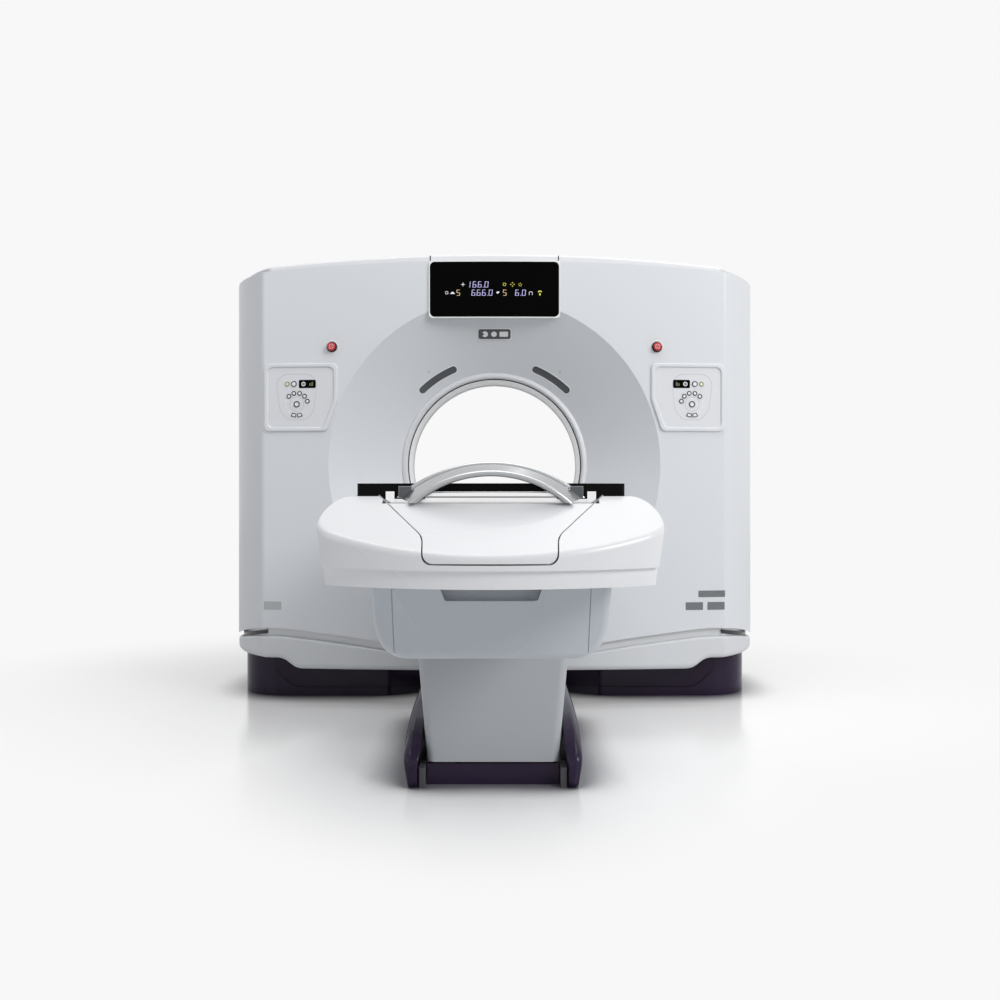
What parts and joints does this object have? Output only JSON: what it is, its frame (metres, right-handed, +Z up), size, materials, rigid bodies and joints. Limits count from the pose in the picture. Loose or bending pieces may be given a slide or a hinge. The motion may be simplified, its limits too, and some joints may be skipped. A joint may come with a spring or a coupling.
{
  "type": "ct scanner",
  "caption": "Computed tomography scanner: a ring gantry with a dished front and a patient table on a lifting pedestal with a sliding cradle.",
  "frame": {"origin": "on the floor under the isocentre, in the middle of the gantry's four floor bolts", "axes": "+Z up, +Y from the patient table into the bore, +X to the right seen from the table's foot"},
  "size_m": [2.33, 3.61, 1.902],
  "materials": {
    "cover": "satin moulded cover",
    "lid": "satin moulded cover",
    "lower_cover": "satin moulded cover",
    "reveal": "polished",
    "skirt": "dark purple moulding",
    "bore_ring": "satin",
    "liner": "satin composite",
    "window": "clear film",
    "bezel": "satin",
    "display_glass": "black glass",
    "lamp_dark": "smoked lens",
    "panel": "satin keypad moulding",
    "collar": "black",
    "red": "signal red",
    "key": "grey key",
    "green_key": "green key",
    "frame_steel": "grey paint",
    "bearing": "ground",
    "slip_ring": "contact tracks",
    "rotor_casting": "as cast, machined faces",
    "tube_paint": "light paint",
    "aluminium": "extruded",
    "cylinder": "black paint",
    "pedestal": "satin moulded cover",
    "duct": "grey paint",
    "table_cover": "satin moulded cover",
    "housing": "satin moulded cover",
    "board": "carbon composite",
    "white_trim": "satin",
    "silver": "satin anodised"
  },
  "bodies": {
    "scanner": {"arc_lights": "lamp_dark", "base_fins": "skirt", "base_frame": "frame_steel", "base_front_plate": "skirt", "base_shoe_left": "skirt", "base_shoe_right": "skirt", "bearing_outer_ring": "bearing", "bore_liner": "liner", "bore_ring": "bore_ring", "control_panel_left": "panel", "control_panel_right": "panel", "display_glass": "display_glass", "display_housing": "bezel", "estop_collars": "collar", "floor_duct": "duct", "front_cover": "cover", "indicator_panel": "lamp_dark", "lift_cylinder": "cylinder", "lower_cover_front": "lower_cover", "lower_cover_rear": "lower_cover", "panel_screens": "display_glass", "pedestal_cover": "pedestal", "rear_cover": "cover", "reveal_band": "reveal", "scan_window": "window", "side_cover_left": "cover", "side_cover_right": "cover", "table_base": "frame_steel", "top_cover_centre": "lid", "top_cover_left": "lid", "top_cover_right": "lid"},
    "rotor": {"rotor_drum": "rotor_casting", "bearing_inner_ring": "bearing", "slip_ring": "slip_ring", "xray_tube": "tube_paint", "collimator": "aluminium", "detector_arc": "aluminium", "generator": "tube_paint", "heat_exchanger": "aluminium"},
    "column_stage": {"column_middle": "aluminium"},
    "table_top": {"column_inner": "aluminium", "lift_rod": "bearing", "table_frame": "aluminium", "side_rails": "table_cover", "end_cover": "table_cover", "end_insert": "table_cover", "head_cover": "table_cover", "upper_housing": "housing"},
    "cradle": {"cradle_board": "board", "cradle_end_block": "white_trim", "cradle_carriage": "board", "bow_handle": "silver"},
    "estop_left": {"estop_button_left": "red"},
    "centre_key_left_body": {"centre_key_left": "key"},
    "lamp_key_left_body": {"lamp_key_left": "green_key"},
    "lock_key_left_body": {"lock_key_left": "key"},
    "estop_right": {"estop_button_right": "red"},
    "centre_key_right_body": {"centre_key_right": "key"},
    "lamp_key_right_body": {"lamp_key_right": "green_key"},
    "lock_key_right_body": {"lock_key_right": "key"}
  },
  "joints": [
    {"name": "rotor_spin", "type": "hinge", "parent": "scanner", "child": "rotor", "pos_m": [0, 0, 1.015], "axis": [0, 1, 0], "continuous": true},
    {"name": "table_lift", "type": "slide", "parent": "scanner", "child": "table_top", "axis": [0, 0, 1], "range_m": [-0.26, 0.04]},
    {"name": "column_follow", "type": "slide", "parent": "scanner", "child": "column_stage", "axis": [0, 0, 1], "range_m": [-0.13, 0.02]},
    {"name": "cradle_feed", "type": "slide", "parent": "table_top", "child": "cradle", "axis": [0, 1, 0], "range_m": [0, 1.7]},
    {"name": "estop_left_push", "type": "slide", "parent": "scanner", "child": "estop_left", "axis": [0.0916, 0.9958, 0], "range_m": [0, 0.005]},
    {"name": "centre_key_left_press", "type": "slide", "parent": "scanner", "child": "centre_key_left_body", "axis": [0.1117, 0.9937, 0], "range_m": [0, 0.0015], "stiffness_N_per_m": 600},
    {"name": "lamp_key_left_press", "type": "slide", "parent": "scanner", "child": "lamp_key_left_body", "axis": [0.1172, 0.9931, 0], "range_m": [0, 0.0015], "stiffness_N_per_m": 600},
    {"name": "lock_key_left_press", "type": "slide", "parent": "scanner", "child": "lock_key_left_body", "axis": [0.1133, 0.9936, 0], "range_m": [0, 0.0015], "stiffness_N_per_m": 600},
    {"name": "estop_right_push", "type": "slide", "parent": "scanner", "child": "estop_right", "axis": [-0.0916, 0.9958, 0], "range_m": [0, 0.005]},
    {"name": "centre_key_right_press", "type": "slide", "parent": "scanner", "child": "centre_key_right_body", "axis": [-0.1117, 0.9937, 0], "range_m": [0, 0.0015], "stiffness_N_per_m": 600},
    {"name": "lamp_key_right_press", "type": "slide", "parent": "scanner", "child": "lamp_key_right_body", "axis": [-0.1172, 0.9931, 0], "range_m": [0, 0.0015], "stiffness_N_per_m": 600},
    {"name": "lock_key_right_press", "type": "slide", "parent": "scanner", "child": "lock_key_right_body", "axis": [-0.1133, 0.9936, 0], "range_m": [0, 0.0015], "stiffness_N_per_m": 600}
  ],
  "couplings": [
    {"joint": "column_follow", "follows": "table_lift", "ratio": 0.5}
  ]
}
